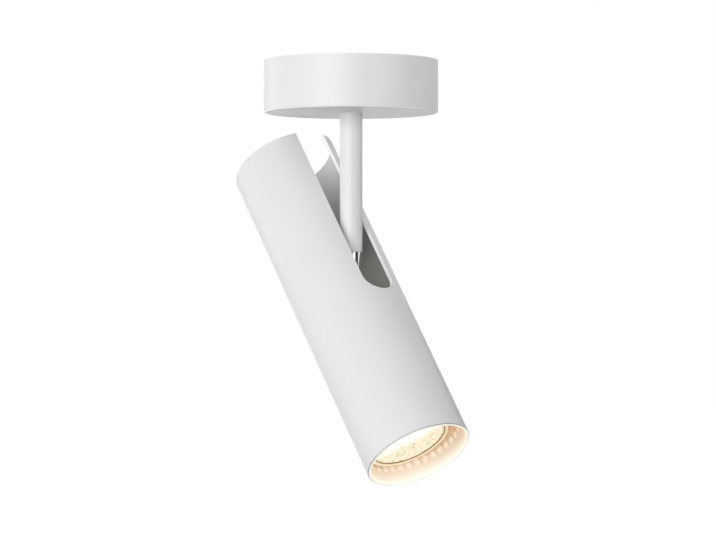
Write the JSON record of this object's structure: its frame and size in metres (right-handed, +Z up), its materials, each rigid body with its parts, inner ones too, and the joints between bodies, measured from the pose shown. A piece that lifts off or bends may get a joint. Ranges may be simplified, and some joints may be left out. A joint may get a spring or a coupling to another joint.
{
  "type": "surface mounted ceiling spotlight",
  "caption": "Tube spotlight on a round ceiling canopy: the stem swivels, and the head tilts on a knuckle seen through a long slit in its side.",
  "frame": {"origin": "centre of the two slots in the ceiling bracket's top face, on the ceiling, above the stem", "axes": "+Z up into the ceiling; the head tilts in the XZ plane with its slit towards +X; +Y along the knuckle's pivot"},
  "size_m": [0.1715, 0.1, 0.2428],
  "materials": {
    "white_powder_coat": "fine semi-gloss powder coat",
    "zinc_plated_steel": "satin zinc plate",
    "polished_nickel": "polished",
    "brass": "satin",
    "white_nylon": "matte",
    "wire_sleeve": "woven glass sleeve",
    "ceramic": "unglazed ceramic",
    "lamp_plastic": "gloss",
    "lamp_lens": "clear faceted lens, lit",
    "lamp_board": "white solder mask",
    "led_chip": "phosphor"
  },
  "bodies": {
    "base": {"ceiling_bracket": "zinc_plated_steel", "canopy": "white_powder_coat", "canopy_clip": "zinc_plated_steel", "canopy_screw": "zinc_plated_steel", "terminal_block": "white_nylon", "terminal_inserts": "brass", "terminal_screws": "zinc_plated_steel", "terminal_block_screws": "zinc_plated_steel", "earth_screw": "zinc_plated_steel", "earth_washer": "zinc_plated_steel", "swivel_bush": "white_nylon", "stem_washer": "white_nylon", "stop_pin": "zinc_plated_steel", "supply_wires": "wire_sleeve"},
    "stem": {"stem_tube": "white_powder_coat", "stem_nipple": "zinc_plated_steel", "stop_washer": "zinc_plated_steel", "disc_spring": "zinc_plated_steel", "swivel_nut": "zinc_plated_steel", "lock_nut": "zinc_plated_steel", "knuckle_upper": "polished_nickel", "stem_wires": "wire_sleeve"},
    "head": {"head_tube": "white_powder_coat", "knuckle_lower": "polished_nickel", "pivot_screw": "polished_nickel", "pivot_washers": "white_nylon", "pivot_nut": "polished_nickel", "knuckle_washer": "zinc_plated_steel", "knuckle_nut": "zinc_plated_steel", "carrier_bracket": "zinc_plated_steel", "carrier_screws": "zinc_plated_steel", "carrier_earth_screw": "zinc_plated_steel", "holder_posts": "zinc_plated_steel", "lampholder_body": "ceramic", "lampholder_cap": "ceramic", "lampholder_contacts": "brass", "lampholder_screws": "zinc_plated_steel", "head_wires": "wire_sleeve"},
    "lamp": {"lamp_housing": "lamp_plastic", "lamp_base": "lamp_plastic", "lamp_pins": "brass", "lamp_board": "lamp_board", "lamp_leds": "led_chip", "lamp_lens": "lamp_lens", "lamp_bezel": "lamp_plastic"}
  },
  "joints": [
    {"name": "stem_swivel", "type": "hinge", "parent": "base", "child": "stem", "pos_m": [0, 0, -0.03], "axis": [0, 0, 1], "range_deg": [-165, 165]},
    {"name": "head_tilt", "type": "hinge", "parent": "stem", "child": "head", "pos_m": [0, 0, -0.142], "axis": [0, -1, 0], "range_deg": [-36, 54]},
    {"name": "lamp_twist", "type": "hinge", "parent": "head", "child": "lamp", "pos_m": [-0.00113, -0.0014, -0.14282], "axis": [-0.5878, 0, 0.809], "range_deg": [0, 22]}
  ]
}
